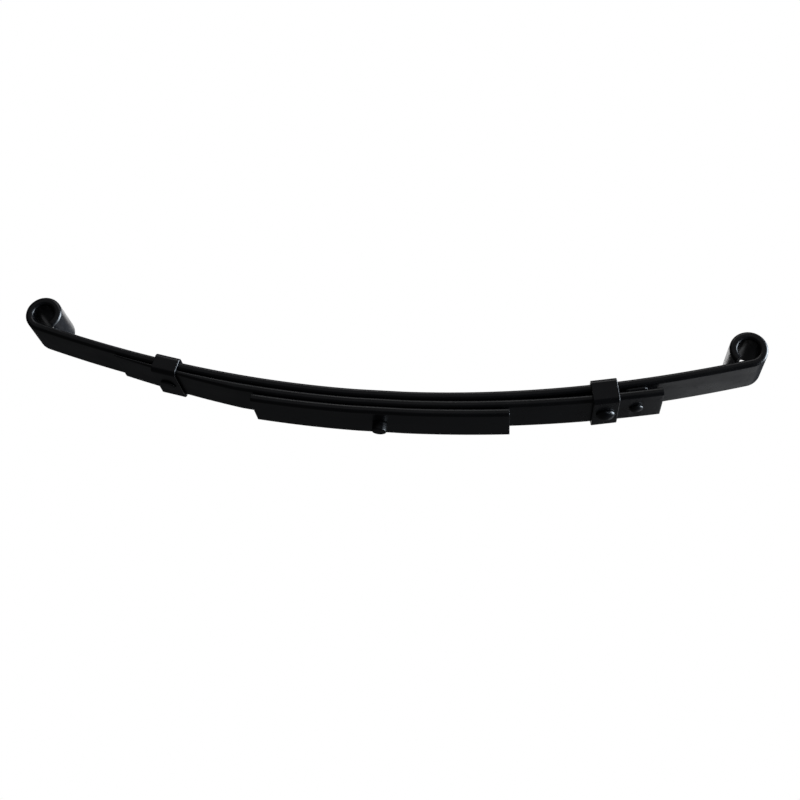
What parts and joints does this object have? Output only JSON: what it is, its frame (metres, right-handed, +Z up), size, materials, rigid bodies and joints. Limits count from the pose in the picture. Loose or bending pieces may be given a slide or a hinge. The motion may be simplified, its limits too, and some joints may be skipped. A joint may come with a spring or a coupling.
{
  "type": "leaf spring",
  "caption": "Semi-elliptic multi-leaf suspension spring with upturned rolled eyes, riveted clips, a tip pad and a centre locating bolt.",
  "frame": {"origin": "on the centre bolt's axis, in the plane of the lowest leaf's underside, where the spring sits on its axle perch", "axes": "+X along the spring towards the end whose clip has the domed rivet, +Y along the eye bores, +Z up towards the eyes"},
  "size_m": [0.6418, 0.0504, 0.1013],
  "materials": {
    "leaf_paint": "satin to gloss black paint over rolled spring steel",
    "clip_paint": "gloss black paint over bent mild steel strap",
    "fastener_paint": "black paint over forged steel, worn on the corners",
    "pad_rubber": "black rubber, painted over with the leaves"
  },
  "bodies": {
    "leaf_pack": {"main_leaf": "leaf_paint", "second_leaf": "leaf_paint", "third_leaf": "leaf_paint", "centre_bolt": "fastener_paint", "centre_nut": "fastener_paint"},
    "left_end": {"left_clip": "clip_paint", "left_clip_rivet": "fastener_paint"},
    "right_end": {"right_clip": "clip_paint", "right_clip_rivet": "fastener_paint", "tip_pad": "pad_rubber"}
  },
  "joints": [
    {"name": "left_flex", "type": "hinge", "parent": "leaf_pack", "child": "left_end", "pos_m": [-0.102, 0, 0.0161], "axis": [0, -1, 0], "range_deg": [-3, 9], "stiffness_Nm_per_rad": 2600, "deforming": ["main_leaf", "second_leaf", "third_leaf"]},
    {"name": "right_flex", "type": "hinge", "parent": "leaf_pack", "child": "right_end", "pos_m": [0.102, 0, 0.0161], "axis": [0, 1, 0], "range_deg": [-3, 9], "stiffness_Nm_per_rad": 2600, "deforming": ["main_leaf", "second_leaf", "third_leaf"]}
  ]
}
